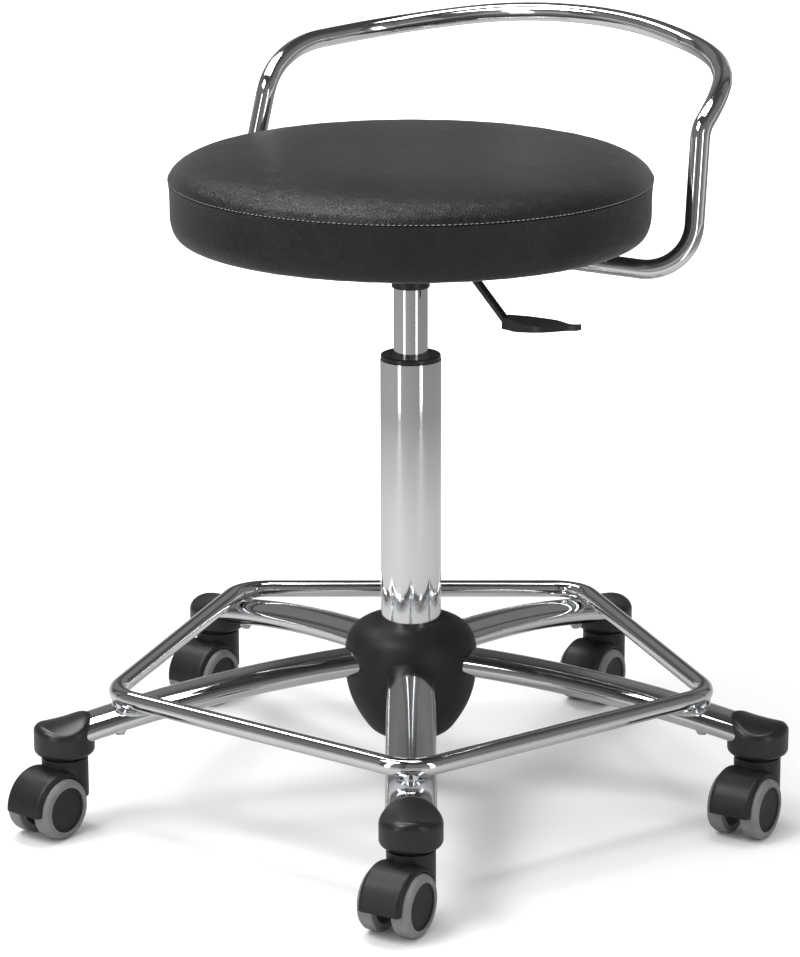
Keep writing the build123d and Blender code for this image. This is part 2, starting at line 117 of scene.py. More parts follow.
def makeHandling():
    # roughness of a surface that hands and cloths have touched: soft patches and fine rubbed streaks
    group, given, out = startGroup(
        "handling",
        [("Base", 0.1), ("Patches", 0.05), ("Streaks", 0.03), ("Patch Scale", 14.0), ("Streak Scale", 60.0)],
        [("Roughness", "NodeSocketFloat"), ("Patch", "NodeSocketFloat")],
    )
    place = addNode(group, "ShaderNodeTexCoord")
    patch = addNode(group, "ShaderNodeTexNoise")
    patch.inputs["Detail"].default_value = 4.0
    patch.inputs["Distortion"].default_value = 0.6
    stretch = addNode(group, "ShaderNodeMapping")
    stretch.inputs["Scale"].default_value = (1.0, 0.25, 6.0)
    stretch.inputs["Rotation"].default_value = (0.4, 0.2, 0.7)
    streak = addNode(group, "ShaderNodeTexNoise")
    streak.inputs["Detail"].default_value = 5.0
    group.links.new(place.outputs["Object"], patch.inputs["Vector"])
    group.links.new(place.outputs["Object"], stretch.inputs["Vector"])
    group.links.new(stretch.outputs["Vector"], streak.inputs["Vector"])
    group.links.new(given.outputs["Patch Scale"], patch.inputs["Scale"])
    group.links.new(given.outputs["Streak Scale"], streak.inputs["Scale"])
    patchMask = addRange(group, patch.outputs["Fac"], 0.42, 0.7, 0.0, 1.0)
    streakMask = addRange(group, streak.outputs["Fac"], 0.5, 0.75, 0.0, 1.0)
    patches = addMath(group, "MULTIPLY", patchMask, given.outputs["Patches"])
    total = addMath(group, "ADD", given.outputs["Base"], patches)
    streaks = addMath(group, "MULTIPLY", streakMask, given.outputs["Streaks"])
    total = addMath(group, "ADD", total, streaks, clamp=True)
    group.links.new(total, out.inputs["Roughness"])
    group.links.new(patchMask, out.inputs["Patch"])
    return group


def makeSettledDust():
    # mask of the faint dust that lies on faces that look up
    group, given, out = startGroup(
        "settledDust",
        [("Amount", 0.2), ("Scale", 120.0)],
        [("Mask", "NodeSocketFloat")],
    )
    shape = addNode(group, "ShaderNodeNewGeometry")
    split = addNode(group, "ShaderNodeSeparateXYZ")
    place = addNode(group, "ShaderNodeTexCoord")
    speck = addNode(group, "ShaderNodeTexNoise")
    speck.inputs["Detail"].default_value = 6.0
    speck.inputs["Roughness"].default_value = 0.7
    group.links.new(shape.outputs["Normal"], split.inputs[0])
    group.links.new(place.outputs["Object"], speck.inputs["Vector"])
    group.links.new(given.outputs["Scale"], speck.inputs["Scale"])
    up = addRange(group, split.outputs["Z"], 0.3, 1.0, 0.0, 1.0)
    speckMask = addRange(group, speck.outputs["Fac"], 0.45, 0.75, 0.1, 1.0)
    lying = addMath(group, "MULTIPLY", up, speckMask)
    mask = addMath(group, "MULTIPLY", lying, given.outputs["Amount"], clamp=True)
    group.links.new(mask, out.inputs["Mask"])
    return group


def makeHideGrain():
    # pebbled grain of vinyl leather: cells with soft creases between them, broken by fine pores
    group, given, out = startGroup(
        "hideGrain",
        [("Scale", 620.0), ("Crease Scale", 9.0), ("Crease Share", 0.6)],
        [("Height", "NodeSocketFloat"), ("Crease", "NodeSocketFloat"), ("Tone", "NodeSocketFloat")],
    )
    place = addNode(group, "ShaderNodeTexCoord")
    warp = addNode(group, "ShaderNodeTexNoise")
    warp.inputs["Scale"].default_value = 90.0
    # of this node's sockets, inputs 4 and 5 and output 1 are the vectors
    mix = addNode(group, "ShaderNodeMix", data_type="VECTOR")
    mix.inputs["Factor"].default_value = 0.012
    cells = addNode(group, "ShaderNodeTexVoronoi", feature="DISTANCE_TO_EDGE")
    pores = addNode(group, "ShaderNodeTexNoise")
    pores.inputs["Scale"].default_value = 1500.0
    tone = addNode(group, "ShaderNodeTexNoise")
    tone.inputs["Detail"].default_value = 5.0
    tone.inputs["Roughness"].default_value = 0.62
    group.links.new(place.outputs["Object"], warp.inputs["Vector"])
    group.links.new(place.outputs["Object"], mix.inputs[4])
    group.links.new(warp.outputs["Color"], mix.inputs[5])
    group.links.new(mix.outputs[1], cells.inputs["Vector"])
    group.links.new(place.outputs["Object"], pores.inputs["Vector"])
    group.links.new(place.outputs["Object"], tone.inputs["Vector"])
    group.links.new(given.outputs["Scale"], cells.inputs["Scale"])
    group.links.new(given.outputs["Crease Scale"], tone.inputs["Scale"])
    pebble = addRange(group, cells.outputs["Distance"], 0.0, 0.32, 0.0, 1.0)
    ridge = addMath(group, "ABSOLUTE", addMath(group, "SUBTRACT", tone.outputs["Fac"], 0.5))
    crease = addRange(group, ridge, 0.0, 0.06, 1.0, 0.0)
    poreShare = 0.35
    height = addMath(group, "ADD", pebble, addMath(group, "MULTIPLY", pores.outputs["Fac"], poreShare))
    sunk = addMath(group, "MULTIPLY", crease, given.outputs["Crease Share"])
    height = addMath(group, "SUBTRACT", height, sunk)
    group.links.new(height, out.inputs["Height"])
    group.links.new(crease, out.inputs["Crease"])
    group.links.new(tone.outputs["Fac"], out.inputs["Tone"])
    return group


mouldedGrain = makeMouldedGrain()
handling = makeHandling()
settledDust = makeSettledDust()
hideGrain = makeHideGrain()
print("surface effects built")


# materials

dustColour = {"chrome": (0.55, 0.55, 0.54), "plastic": (0.22, 0.215, 0.21), "hide": (0.2, 0.2, 0.195)}


def startMaterial(name):
    material = bpy.data.materials.new(name)
    material.use_nodes = True
    tree = material.node_tree
    tree.nodes.clear()
    shader = addNode(tree, "ShaderNodeBsdfPrincipled")
    output = addNode(tree, "ShaderNodeOutputMaterial")
    tree.links.new(shader.outputs[0], output.inputs["Surface"])
    return material, tree, shader


def addEffect(tree, group, values):
    node = addNode(tree, "ShaderNodeGroup", node_tree=group)
    for key, value in values.items():
        node.inputs[key].default_value = value
    return node


def addBump(tree, shader, height, strength, distance):
    bump = addNode(tree, "ShaderNodeBump")
    bump.inputs["Strength"].default_value = strength
    bump.inputs["Distance"].default_value = distance
    tree.links.new(height, bump.inputs["Height"])
    tree.links.new(bump.outputs["Normal"], shader.inputs["Normal"])


def mixColours(tree, mask, low, high):
    # of this node's sockets, inputs 6 and 7 and output 2 are the colours
    mix = addNode(tree, "ShaderNodeMix", data_type="RGBA")
    for index, value in ((6, low), (7, high)):
        if isinstance(value, bpy.types.NodeSocket):
            tree.links.new(value, mix.inputs[index])
        else:
            mix.inputs[index].default_value = (*value, 1.0)
    tree.links.new(mask, mix.inputs["Factor"])
    return mix.outputs[2]


def makePolishedChrome(name, look):
    material, tree, shader = startMaterial(name)
    shader.inputs["Metallic"].default_value = 1.0
    touched = addEffect(tree, handling, {"Base": look["roughness"], "Patches": look["patches"],
                                         "Streaks": look["streaks"]})
    dust = addEffect(tree, settledDust, {"Amount": look["dust"]})
    waves = addEffect(tree, mouldedGrain, {"Scale": look["waveScale"], "Waves": look["waveScale"] / 3})
    plated = mixColours(tree, touched.outputs["Patch"], look["colour"], look["cloudedColour"])
    dusted = mixColours(tree, dust.outputs["Mask"], plated, dustColour["chrome"])
    tree.links.new(dusted, shader.inputs["Base Color"])
    dulled = addMath(tree, "MULTIPLY", dust.outputs["Mask"], 0.25)
    roughness = addMath(tree, "ADD", touched.outputs["Roughness"], dulled)
    tree.links.new(roughness, shader.inputs["Roughness"])
    addBump(tree, shader, waves.outputs["Height"], look["waveDepth"], distance=0.001)
    return material


def makeMouldedPlastic(name, look):
    material, tree, shader = startMaterial(name)
    shader.inputs["Specular IOR Level"].default_value = look["gloss"]
    grain = addEffect(tree, mouldedGrain, {"Scale": look["grainScale"], "Waves": 45.0})
    touched = addEffect(tree, handling, {"Base": look["roughness"], "Patches": 0.06, "Streaks": 0.04,
                                         "Patch Scale": 30.0})
    dust = addEffect(tree, settledDust, {"Amount": look["dust"], "Scale": 240.0})
    body = mixColours(tree, grain.outputs["Fleck"], look["colour"], look["paleColour"])
    dusted = mixColours(tree, dust.outputs["Mask"], body, dustColour["plastic"])
    tree.links.new(dusted, shader.inputs["Base Color"])
    tree.links.new(touched.outputs["Roughness"], shader.inputs["Roughness"])
    addBump(tree, shader, grain.outputs["Height"], look["grainDepth"], distance=0.0006)
    return material


def makeHide(name, look):
    material, tree, shader = startMaterial(name)
    shader.inputs["Specular IOR Level"].default_value = look["gloss"]
    shader.inputs["Sheen Weight"].default_value = look["sheen"]
    shader.inputs["Sheen Roughness"].default_value = 0.45
    grain = addEffect(tree, hideGrain, {"Scale": look["grainScale"]})
    dust = addEffect(tree, settledDust, {"Amount": look["dust"], "Scale": 90.0})
    touched = addEffect(tree, handling, {"Base": look["roughness"], "Patches": 0.07, "Streaks": 0.03,
                                         "Patch Scale": 9.0, "Streak Scale": 22.0})
    toned = mixColours(tree, addRange(tree, grain.outputs["Tone"], 0.35, 0.65, 0.0, 1.0),
                       look["colour"], look["paleColour"])
    creaseMask = addMath(tree, "MULTIPLY", grain.outputs["Crease"], 0.25)
    creased = mixColours(tree, creaseMask, toned, look["creaseColour"])
    dusted = mixColours(tree, dust.outputs["Mask"], creased, dustColour["hide"])
    tree.links.new(dusted, shader.inputs["Base Color"])
    tree.links.new(touched.outputs["Roughness"], shader.inputs["Roughness"])
    addBump(tree, shader, grain.outputs["Height"], look["grainDepth"], distance=0.0008)
    return material


def makeTread(name, look):
    material, tree, shader = startMaterial(name)
    shader.inputs["Specular IOR Level"].default_value = 0.35
    grain = addEffect(tree, mouldedGrain, {"Scale": 1300.0, "Waves": 110.0, "Wave Share": 0.5})
    touched = addEffect(tree, handling, {"Base": look["roughness"], "Patches": 0.12, "Streaks": 0.1,
                                         "Patch Scale": 60.0, "Streak Scale": 180.0})
    rubbed = mixColours(tree, touched.outputs["Patch"], look["colour"], look["rubbedColour"])
    fleckMask = addMath(tree, "MULTIPLY", grain.outputs["Fleck"], 0.35)
    flecked = mixColours(tree, fleckMask, rubbed, look["paleColour"])
    tree.links.new(flecked, shader.inputs["Base Color"])
    tree.links.new(touched.outputs["Roughness"], shader.inputs["Roughness"])
    addBump(tree, shader, grain.outputs["Height"], strength=0.25, distance=0.0005)
    return material


def makePlywood(name, look):
    material, tree, shader = startMaterial(name)
    place = addNode(tree, "ShaderNodeTexCoord")
    turn = addNode(tree, "ShaderNodeMapping")
    turn.inputs["Rotation"].default_value = (0.0, 0.0, 0.5)
    turn.inputs["Scale"].default_value = (1.0, 9.0, 1.0)
    grain = addNode(tree, "ShaderNodeTexNoise")
    grain.inputs["Scale"].default_value = look["grainScale"]
    grain.inputs["Detail"].default_value = 8.0
    grain.inputs["Distortion"].default_value = 0.8
    plies = addNode(tree, "ShaderNodeTexWave", wave_type="BANDS", bands_direction="Z")
    plies.inputs["Scale"].default_value = look["plyScale"]
    plies.inputs["Distortion"].default_value = 0.3
    tree.links.new(place.outputs["Object"], turn.inputs["Vector"])
    tree.links.new(turn.outputs["Vector"], grain.inputs["Vector"])
    tree.links.new(place.outputs["Object"], plies.inputs["Vector"])
    face = mixColours(tree, addRange(tree, grain.outputs["Fac"], 0.35, 0.7, 0.0, 1.0),
                      look["colour"], look["darkColour"])
    plyMask = addMath(tree, "MULTIPLY", plies.outputs["Fac"], 0.25)
    layered = mixColours(tree, plyMask, face, look["darkColour"])
    tree.links.new(layered, shader.inputs["Base Color"])
    tree.links.new(addRange(tree, grain.outputs["Fac"], 0.3, 0.7, 0.55, 0.75), shader.inputs["Roughness"])
    addBump(tree, shader, grain.outputs["Fac"], strength=0.2, distance=0.0006)
    return material


chromeLook = {
    "column": {"colour": (0.86, 0.87, 0.88), "cloudedColour": (0.82, 0.83, 0.84), "roughness": 0.055,
               "patches": 0.02, "streaks": 0.02, "dust": 0.03, "waveScale": 24.0, "waveDepth": 0.02},
    "tube": {"colour": (0.86, 0.87, 0.88), "cloudedColour": (0.81, 0.82, 0.83), "roughness": 0.05,
             "patches": 0.03, "streaks": 0.02, "dust": 0.08, "waveScale": 30.0, "waveDepth": 0.02},
    "leg": {"colour": (0.84, 0.85, 0.86), "cloudedColour": (0.79, 0.80, 0.81), "roughness": 0.06,
            "patches": 0.04, "streaks": 0.03, "dust": 0.12, "waveScale": 26.0, "waveDepth": 0.03},
}
columnChrome = makePolishedChrome("columnChrome", chromeLook["column"])
tubeChrome = makePolishedChrome("tubeChrome", chromeLook["tube"])
legChrome = makePolishedChrome("legChrome", chromeLook["leg"])
zincSteel = makePolishedChrome("zincSteel", {
    "colour": (0.60, 0.61, 0.62), "cloudedColour": (0.48, 0.49, 0.50), "roughness": 0.28, "patches": 0.12,
    "streaks": 0.1, "dust": 0.1, "waveScale": 160.0, "waveDepth": 0.12})
hubPlastic = makeMouldedPlastic("hubPlastic", {
    "colour": (0.009, 0.009, 0.0095), "paleColour": (0.012, 0.012, 0.0125), "roughness": 0.46, "gloss": 0.36,
    "grainScale": 700.0, "grainDepth": 0.22, "dust": 0.05})
capPlastic = makeMouldedPlastic("capPlastic", {
    "colour": (0.010, 0.010, 0.0105), "paleColour": (0.014, 0.014, 0.0145), "roughness": 0.30, "gloss": 0.5,
    "grainScale": 900.0, "grainDepth": 0.10, "dust": 0.05})
casterPlastic = makeMouldedPlastic("casterPlastic", {
    "colour": (0.009, 0.009, 0.0095), "paleColour": (0.013, 0.013, 0.0135), "roughness": 0.40, "gloss": 0.4,
    "grainScale": 900.0, "grainDepth": 0.16, "dust": 0.06})
discPlastic = makeMouldedPlastic("discPlastic", {
    "colour": (0.011, 0.011, 0.0115), "paleColour": (0.016, 0.016, 0.0165), "roughness": 0.50, "gloss": 0.38,
    "grainScale": 800.0, "grainDepth": 0.2, "dust": 0.04})
powderCoat = makeMouldedPlastic("powderCoat", {
    "colour": (0.009, 0.009, 0.009), "paleColour": (0.013, 0.013, 0.013), "roughness": 0.36, "gloss": 0.5,
    "grainScale": 420.0, "grainDepth": 0.35, "dust": 0.05})
greyTread = makeTread("greyTread", {
    "colour": (0.150, 0.150, 0.153), "rubbedColour": (0.185, 0.185, 0.187),
    "paleColour": (0.22, 0.22, 0.22), "roughness": 0.55})
boardPlywood = makePlywood("stainedPlywood", {
    "colour": (0.040, 0.037, 0.034), "darkColour": (0.018, 0.017, 0.016),
    "grainScale": 16.0, "plyScale": 180.0})
seatHide = makeHide("seatHide", {
    "colour": (0.0085, 0.0085, 0.0085), "paleColour": (0.0135, 0.0135, 0.0135),
    "creaseColour": (0.012, 0.012, 0.012), "roughness": 0.29, "gloss": 0.27, "sheen": 0.06,
    "grainScale": 640.0, "grainDepth": 0.28, "dust": 0.03})
# the stitch thread's light grey colour is a painted highlight: it stands in for the sheen that makes the
# seam's stitches look bright
threadPaintedSheen = makeHide("threadPaintedSheen", {
    "colour": (0.27, 0.27, 0.27), "paleColour": (0.34, 0.34, 0.34),
    "creaseColour": (0.012, 0.012, 0.012), "roughness": 0.45, "gloss": 0.5, "sheen": 0.2,
    "grainScale": 2000.0, "grainDepth": 0.2, "dust": 0.0})

finishOf = {
    "leg_chrome": legChrome, "tube_chrome": tubeChrome, "column_chrome": columnChrome, "steel": zincSteel,
    "black_metal": powderCoat, "hub_black": hubPlastic, "black_plastic": capPlastic,
    "caster_black": casterPlastic, "wheel_black": discPlastic, "tyre_grey": greyTread,
    "plywood": boardPlywood, "upholstery": seatHide,
}
for part in frame["record"]["subparts"]:
    mesh = nodes[part["node"]].data
    mesh.materials.clear()
    mesh.materials.append(finishOf[part["material_slot"]])
print("materials on the CAD pieces")


# camera and studio

viewpoint = {
    # metres from the column's axis and above the floor
    "distance": 2.864,
    "height": 1.0738,
    # degrees
    "pitch": 15.698,
    "turn": -0.178,
    "roll": -0.08,
    # millimetres
    "lens": 162.92,
    "sensor": 36.0,
    # metres
    "clipEnd": 50.0,
}


def placeCamera(look):
    camera = bpy.data.cameras.new("viewCamera")
    camera.lens = look["lens"]
    camera.sensor_width = look["sensor"]
    camera.sensor_fit = "HORIZONTAL"
    camera.clip_end = look["clipEnd"]
    holder = bpy.data.objects.new("viewCamera", camera)
    turn = (Matrix.Rotation(math.radians(-look["turn"]), 4, "Z")
            @ Matrix.Rotation(math.radians(90.0 - look["pitch"]), 4, "X")
            @ Matrix.Rotation(math.radians(look["roll"]), 4, "Z"))
    holder.matrix_world = Matrix.Translation((0.0, -look["distance"], look["height"])) @ turn
    scene.collection.objects.link(holder)
    scene.camera = holder


placeCamera(viewpoint)
scene.view_settings.view_transform = "Standard"
scene.view_settings.look = "None"

studio = {
    # softboxes: place and size in metres, power in watts, and the point that each one faces
    "key": {"at": (-1.5, -0.9, 2.6), "size": (1.3, 0.9), "power": 40.0, "aim": (0.0, 0.0, 0.3)},
    "top": {"at": (-0.60, 0.58, 2.95), "size": (0.75, 3.0), "power": 58.0, "aim": (0.0, 0.0, 0.5)},
    "leftStrip": {"at": (-0.84, -0.90, 0.62), "size": (0.22, 1.2), "power": 2.4, "aim": (0.0, 0.0, 0.62)},
    "rightStrip": {"at": (0.78, -0.96, 0.62), "size": (0.20, 1.2), "power": 2.2, "aim": (0.0, 0.0, 0.62)},
    # the floor's size, its colour, and its colour as the chrome shows it near the stool and away from it
    "floorSize": 24.0,
    "paper": 0.93,
    "mirroredNear": 0.45,
    "mirroredFar": 0.26,
    # distances from the column between which the mirrored floor darkens and the seen floor turns white
    "farFrom": 0.85,
    "farTo": 1.25,
    "whiteFrom": 0.45,
    "whiteTo": 1.2,
}


def addSoftbox(name, look):
    lamp = bpy.data.lights.new(name, "AREA")
    lamp.shape = "RECTANGLE"
    lamp.size, lamp.size_y = look["size"]
    lamp.energy = look["power"]
    holder = bpy.data.objects.new(name, lamp)
    holder.location = look["at"]
    holder.rotation_euler = (Vector(look["aim"]) - Vector(look["at"])).to_track_quat("-Z", "Y").to_euler()
    holder.visible_camera = False
    scene.collection.objects.link(holder)


for name in ("key", "top", "leftStrip", "rightStrip"):
    addSoftbox(name + "Softbox", studio[name])


def makeFloor(look):
    # pale paper; the chrome shows it as a soft grey that darkens away from the stool
    material, tree, shader = startMaterial("studioFloor")
    shader.inputs["Roughness"].default_value = 0.9
    shader.inputs["Specular IOR Level"].default_value = 0.1
    place = addNode(tree, "ShaderNodeTexCoord")
    reach = addNode(tree, "ShaderNodeVectorMath", operation="LENGTH")
    tree.links.new(place.outputs["Object"], reach.inputs[0])
    ray = addNode(tree, "ShaderNodeLightPath")
    far = addRange(tree, reach.outputs["Value"], look["farFrom"], look["farTo"], 0.0, 1.0)
    mirrored = mixColours(tree, far, (look["mirroredNear"],) * 3, (look["mirroredFar"],) * 3)
    paper = mixColours(tree, ray.outputs["Is Glossy Ray"], (look["paper"],) * 3, mirrored)
    tree.links.new(paper, shader.inputs["Base Color"])
    # far from the stool the paper is lit until it is white
    lit = addRange(tree, reach.outputs["Value"], look["whiteFrom"], look["whiteTo"], 0.0, 1.0)
    shader.inputs["Emission Color"].default_value = (1.0, 1.0, 1.0, 1.0)
    glow = addMath(tree, "MULTIPLY", lit, ray.outputs["Is Camera Ray"])
    tree.links.new(glow, shader.inputs["Emission Strength"])
    # from below the paper is clear, so that the underside can be looked at
    side = addNode(tree, "ShaderNodeNewGeometry")
    seenFromAbove = addMath(tree, "SUBTRACT", 1.0, side.outputs["Backfacing"])
    tree.links.new(seenFromAbove, shader.inputs["Alpha"])
    work = bmesh.new()
    bmesh.ops.create_grid(work, x_segments=8, y_segments=8, size=look["floorSize"] / 2)
    mesh = bpy.data.meshes.new("studioFloor")
    work.to_mesh(mesh)
    work.free()
    mesh.materials.append(material)
    floor = bpy.data.objects.new("studioFloor", mesh)
    scene.collection.objects.link(floor)


room = {
    # height of the view, from straight down (0) to straight up (1), and how bright the room is there
    "rise": [(0.46, 0.55), (0.505, 0.70), (0.54, 0.34), (0.60, 0.17), (0.74, 0.19), (0.84, 0.15),
             (0.92, 0.07), (1.0, 0.06)],
    # dark flags around the room: how many, how soft, where they start and how dark they are
    "flagScale": 2.6,
    "flagDetail": 1.5,
    "flagTurn": 4.0,
    "flagEdge": (0.36, 0.46),
    "flagDepth": 0.45,
    "skyForPaper": 0.62,
}


def makeSurroundings(look):
    # white behind the object; what the chrome mirrors is a dim room with a pale horizon and a few dark flags
    world = bpy.data.worlds.new("studioRoom")
    scene.world = world
    world.use_nodes = True
    tree = world.node_tree
    tree.nodes.clear()
    way = addNode(tree, "ShaderNodeTexCoord")
    split = addNode(tree, "ShaderNodeSeparateXYZ")
    tree.links.new(way.outputs["Generated"], split.inputs[0])
    rise = addNode(tree, "ShaderNodeValToRGB")
    stops = rise.color_ramp
    stops.interpolation = "EASE"
    for index, (place, level) in enumerate(look["rise"]):
        # the ramp starts with two stops of its own, the first and the last
        if index == 0:
            stop = stops.elements[0]
        elif place == 1.0:
            stop = stops.elements[-1]
        else:
            stop = stops.elements.new(place)
        stop.position = place
        stop.color = (level, level, level, 1.0)
    tree.links.new(addRange(tree, split.outputs["Z"], -1.0, 1.0, 0.0, 1.0), rise.inputs["Fac"])
    bands = addNode(tree, "ShaderNodeTexNoise", noise_dimensions="1D")
    bands.inputs["Scale"].default_value = look["flagScale"]
    bands.inputs["Detail"].default_value = look["flagDetail"]
    around = addMath(tree, "ARCTAN2", split.outputs["Y"], split.outputs["X"])
    tree.links.new(addMath(tree, "ADD", around, look["flagTurn"]), bands.inputs["W"])
    flag = addRange(tree, bands.outputs["Fac"], *look["flagEdge"], look["flagDepth"], 1.0)
    mirrored = addNode(tree, "ShaderNodeVectorMath", operation="SCALE")
    tree.links.new(rise.outputs["Color"], mirrored.inputs[0])
    tree.links.new(flag, mirrored.inputs["Scale"])
    backgrounds = {}
    for name in ("seen", "lighting", "mirroredRoom"):
        backgrounds[name] = addNode(tree, "ShaderNodeBackground")
        backgrounds[name].inputs["Color"].default_value = (1.0, 1.0, 1.0, 1.0)
    backgrounds["lighting"].inputs["Strength"].default_value = look["skyForPaper"]
    tree.links.new(mirrored.outputs[0], backgrounds["mirroredRoom"].inputs["Color"])
    ray = addNode(tree, "ShaderNodeLightPath")
    soft = addNode(tree, "ShaderNodeMixShader")
    whole = addNode(tree, "ShaderNodeMixShader")
    output = addNode(tree, "ShaderNodeOutputWorld")
    tree.links.new(ray.outputs["Is Glossy Ray"], soft.inputs[0])
    tree.links.new(backgrounds["lighting"].outputs[0], soft.inputs[1])
    tree.links.new(backgrounds["mirroredRoom"].outputs[0], soft.inputs[2])
    tree.links.new(ray.outputs["Is Camera Ray"], whole.inputs[0])
    tree.links.new(soft.outputs[0], whole.inputs[1])
    tree.links.new(backgrounds["seen"].outputs[0], whole.inputs[2])
    tree.links.new(whole.outputs[0], output.inputs["Surface"])


makeFloor(studio)
makeSurroundings(room)
print("camera, floor and lights placed")


# padded seat

cushion = {
    "segments": 256,
    "curveSteps": 8,
    # half profile, radius and height: crowned top, rolled shoulder, seam groove, side panel, turned under
    "outline": [(0.0, 0.5440), (0.05, 0.5440), (0.10, 0.5434), (0.138, 0.5418), (0.158, 0.5398),
                (0.176, 0.5368), (0.1868, 0.5322), (0.1925, 0.5268), (0.1946, 0.5225),
                (0.1952, 0.5210), (0.1938, 0.5203), (0.1952, 0.5196),
                (0.1948, 0.5180), (0.1944, 0.5080), (0.1943, 0.4960), (0.1934, 0.4850),
                (0.1900, 0.4768), (0.1840, 0.4736), (0.1768, 0.4730), (0.1640, 0.4731), (0.1555, 0.4733)],
    # the hem under the board, then the faces that lie on the board
    "inside": [(0.1545, 0.4737), (0.1545, 0.4744), (0.1762, 0.4744), (0.1762, 0.4862), (0.09, 0.4862),
               (0.0, 0.4862)],
    "seamHeight": 0.5203,
    # the form that is blown up: how much smaller it is, and how fine
    "slack": 0.003,
    "slackFrom": 0.02,
    "crownSlack": 0.6,
    "crownFrom": 0.53,
    "formSteps": 4,
    "formSegments": 96,
    "voxel": 0.005,
    # where its cloth is held: the hem, the faces on the board, and the seam a little less firmly
    "hemTop": 0.4765,
    "boardTop": 0.489,
    "boardReach": 0.178,
    "seamReach": 0.004,
    "seamFrom": 0.185,
    "seamHold": 0.85,
    "pressure": 4.0,
    "clothQuality": 5,
    "frames": 20,
    "mostSwell": 0.005,
    "smoothings": 4,
    # how much of the swelling the cover takes, above which height, and how it fades to nothing at the seam
    "swellShare": 0.15,
    "swellFrom": 0.4885,
    "swellFade": 0.012,
    "seamStill": 0.0012,
    "seamFade": 0.008,
    "probe": 0.02,
    # pleats of the turned-under edge, between two radii
    "pleats": 44,
    "pleatDepth": 0.0005,
    "pleatWander": 1.5,
    "wanderWaves": 7,
    "pleatTop": 0.4742,
    "pleatInner": 0.156,
    "pleatOuter": 0.190,
    "pleatFade": 0.012,
}
stitching = {
    "count": 292, "radius": 0.1951, "height": 0.5211, "length": 0.0031, "thickness": 0.00062, "lean": 0.10}
staples = {
    "count": 40, "radius": 0.1600, "height": 0.4729, "length": 0.0100, "wire": 0.0007,
    # a crown is a flattened wire with small bevels; no two staples are spaced or turned quite alike
    "flatness": 1.6, "bevel": 0.3, "spacingStray": 0.12, "turnStray": 0.25}


def turnProfile(points, straight, steps, segments):
    # a smooth line through the outline, then straight lines, spun about the column's axis into a closed form
    line = bpy.data.curves.new("turnedLine", "CURVE")
    line.dimensions = "3D"
    line.resolution_u = steps
    spline = line.splines.new("NURBS")
    spline.points.add(len(points) - 1)
    for point, (across, up) in zip(spline.points, points):
        point.co = (across, 0.0, up, 1.0)
    spline.order_u = 3
    spline.use_endpoint_u = True
    holder = bpy.data.objects.new("turnedLine", line)
    mesh = bpy.data.meshes.new_from_object(holder)
    work = bmesh.new()
    work.from_mesh(mesh)
    bpy.data.objects.remove(holder)
    bpy.data.curves.remove(line)
    bpy.data.meshes.remove(mesh)
    last = Vector((points[-1][0], 0.0, points[-1][1]))
    end = min(work.verts, key=lambda vertex: (vertex.co - last).length)
    for across, up in straight:
        corner = work.verts.new((across, 0.0, up))
        work.edges.new((end, corner))
        end = corner
    bmesh.ops.spin(work, geom=work.verts[:] + work.edges[:], cent=(0, 0, 0), axis=(0, 0, 1),
                   angle=2 * math.pi, steps=segments, use_merge=True)
    bmesh.ops.remove_doubles(work, verts=work.verts[:], dist=1e-6)
    bmesh.ops.recalc_face_normals(work, faces=work.faces[:])
    return work


def finishPiece(work, name, material, body, smooth=True):
    bmesh.ops.recalc_face_normals(work, faces=work.faces[:])
    mesh = bpy.data.meshes.new(name)
    for face in work.faces:
        face.smooth = smooth
    work.to_mesh(mesh)
    work.free()
    mesh.materials.append(material)
    piece = bpy.data.objects.new(name, mesh)
    scene.collection.objects.link(piece)
    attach(piece, body)
    return piece


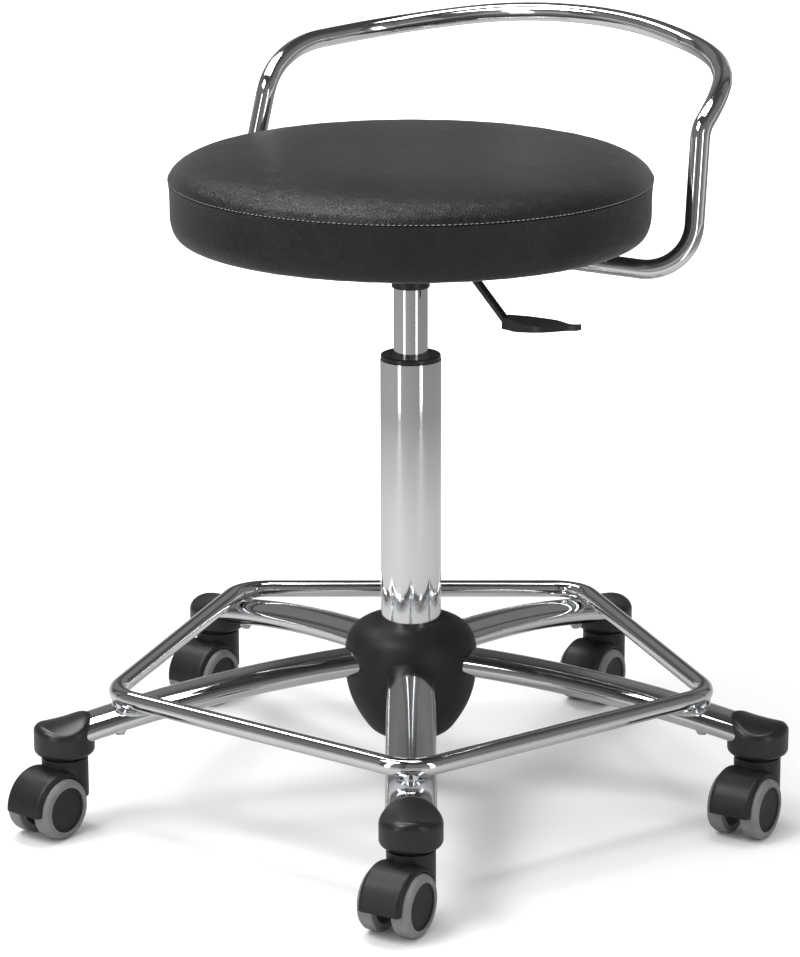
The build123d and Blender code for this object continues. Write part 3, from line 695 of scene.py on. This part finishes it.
def swellCushion(look):
    # foam pushing the cover out: a slightly smaller form is blown up as cloth, and its surface is returned
    smaller = []
    for r, z in look["outline"]:
        inward = look["slack"] * min(1.0, r / look["slackFrom"])
        down = look["slack"] * look["crownSlack"] * (z > look["crownFrom"])
        smaller.append((max(0.0, r - inward), z - down))
    small = turnProfile(smaller, look["inside"], look["formSteps"], look["formSegments"])
    mesh = bpy.data.meshes.new("swellForm")
    small.to_mesh(mesh)
    small.free()
    form = bpy.data.objects.new("swellForm", mesh)
    scene.collection.objects.link(form)
    bpy.context.view_layer.objects.active = form
    remesh = form.modifiers.new("remesh", "REMESH")
    remesh.mode = "VOXEL"
    remesh.voxel_size = look["voxel"]
    bpy.ops.object.modifier_apply(modifier="remesh")
    start = [vertex.co.copy() for vertex in form.data.vertices]
    held = form.vertex_groups.new(name="held")
    for vertex in form.data.vertices:
        r = math.hypot(vertex.co.x, vertex.co.y)
        onBoard = vertex.co.z < look["boardTop"] and r < look["boardReach"]
        fromSeam = abs(vertex.co.z - look["seamHeight"])
        if vertex.co.z < look["hemTop"] or onBoard:
            held.add([vertex.index], 1.0, "REPLACE")
        elif fromSeam < look["seamReach"] and r > look["seamFrom"]:
            held.add([vertex.index], look["seamHold"], "REPLACE")
    cloth = form.modifiers.new("cloth", "CLOTH")
    cloth.settings.use_pressure = True
    cloth.settings.uniform_pressure_force = look["pressure"]
    cloth.settings.vertex_group_mass = "held"
    cloth.settings.effector_weights.gravity = 0.0
    cloth.settings.quality = look["clothQuality"]
    cloth.point_cache.frame_start = 1
    cloth.point_cache.frame_end = look["frames"]
    for step in range(1, look["frames"] + 1):
        scene.frame_set(step)
    bpy.ops.object.modifier_apply(modifier="cloth")
    for vertex, rest in zip(form.data.vertices, start):
        move = vertex.co - rest
        if move.length > look["mostSwell"]:
            vertex.co = rest + move.normalized() * look["mostSwell"]
    scene.frame_set(1)
    shape = bmesh.new()
    shape.from_mesh(form.data)
    for _ in range(look["smoothings"]):
        bmesh.ops.smooth_vert(shape, verts=shape.verts[:], factor=0.5, use_axis_x=True, use_axis_y=True,
                              use_axis_z=True)
    tree = BVHTree.FromBMesh(shape)
    shape.free()
    bpy.data.objects.remove(form)
    return tree


def makeCushion(look):
    work = turnProfile(look["outline"], look["inside"], look["curveSteps"], look["segments"])
    surface = swellCushion(look)
    work.normal_update()
    for vertex in work.verts:
        atMiddle = math.hypot(vertex.co.x, vertex.co.y) < 1e-6
        if vertex.co.z < look["swellFrom"] or atMiddle:
            continue
        outside = vertex.co + vertex.normal * look["probe"]
        swollen = surface.ray_cast(outside, -vertex.normal, 2 * look["probe"])[0]
        if swollen is None:
            continue
        # the seam and the turned-under edge stay where they are sewn and stapled
        fromSeam = abs(vertex.co.z - look["seamHeight"])
        fade = min(1.0, (vertex.co.z - look["swellFrom"]) / look["swellFade"])
        fade *= min(1.0, max(0.0, fromSeam - look["seamStill"]) / look["seamFade"])
        vertex.co = vertex.co.lerp(swollen, look["swellShare"] * fade)
    for vertex in work.verts:
        # small pleats where the cover is drawn under the board
        r = math.hypot(vertex.co.x, vertex.co.y)
        if vertex.co.z < look["pleatTop"] and look["pleatInner"] < r < look["pleatOuter"]:
            way = math.atan2(vertex.co.y, vertex.co.x)
            wander = look["pleatWander"] * math.sin(look["wanderWaves"] * way)
            fold = 0.5 + 0.5 * math.sin(look["pleats"] * way + wander)
            fade = min(1.0, (look["pleatOuter"] - r) / look["pleatFade"])
            vertex.co.z += look["pleatDepth"] * fold * fade
    return work


def makeStitches(look):
    work = bmesh.new()
    for index in range(look["count"]):
        turn = 2 * math.pi * index / look["count"]
        half = look["thickness"] / 2
        place = (Matrix.Rotation(turn, 4, "Z") @ Matrix.Translation((look["radius"], 0.0, look["height"]))
                 @ Matrix.Rotation(look["lean"], 4, "X")
                 @ Matrix.Diagonal((half, look["length"] / 2, half, 1.0)))
        bmesh.ops.create_uvsphere(work, u_segments=6, v_segments=4, radius=1.0, matrix=place)
    return work


def makeStaples(look):
    # each staple's crown lies on the hem, turned a little
    work = bmesh.new()
    for index in range(look["count"]):
        stray = look["spacingStray"] * math.sin(5 * index)
        turn = 2 * math.pi * (index + stray) / look["count"]
        place = (Matrix.Rotation(turn, 4, "Z") @ Matrix.Translation((look["radius"], 0.0, look["height"]))
                 @ Matrix.Rotation(look["turnStray"] * math.sin(3 * index), 4, "Z")
                 @ Matrix.Diagonal((look["wire"] * look["flatness"], look["length"], look["wire"], 1.0)))
        crown = bmesh.ops.create_cube(work, size=1.0, matrix=place)["verts"]
        edges = {edge for vertex in crown for edge in vertex.link_edges}
        bmesh.ops.bevel(work, geom=list(edges), offset=look["wire"] * look["bevel"], segments=1,
                        profile=0.5, affect="EDGES", material=-1)
    return work


seatCushion = finishPiece(makeCushion(cushion), "seatCushion", seatHide, "seat")
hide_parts("seat_cushion")
# the stitches take the thread material, whose light grey colour is a painted highlight
finishPiece(makeStitches(stitching), "seamStitches", threadPaintedSheen, "seat")
finishPiece(makeStaples(staples), "hemStaples", zincSteel, "seat", smooth=False)
print("padded seat made, with its stitches and staples")
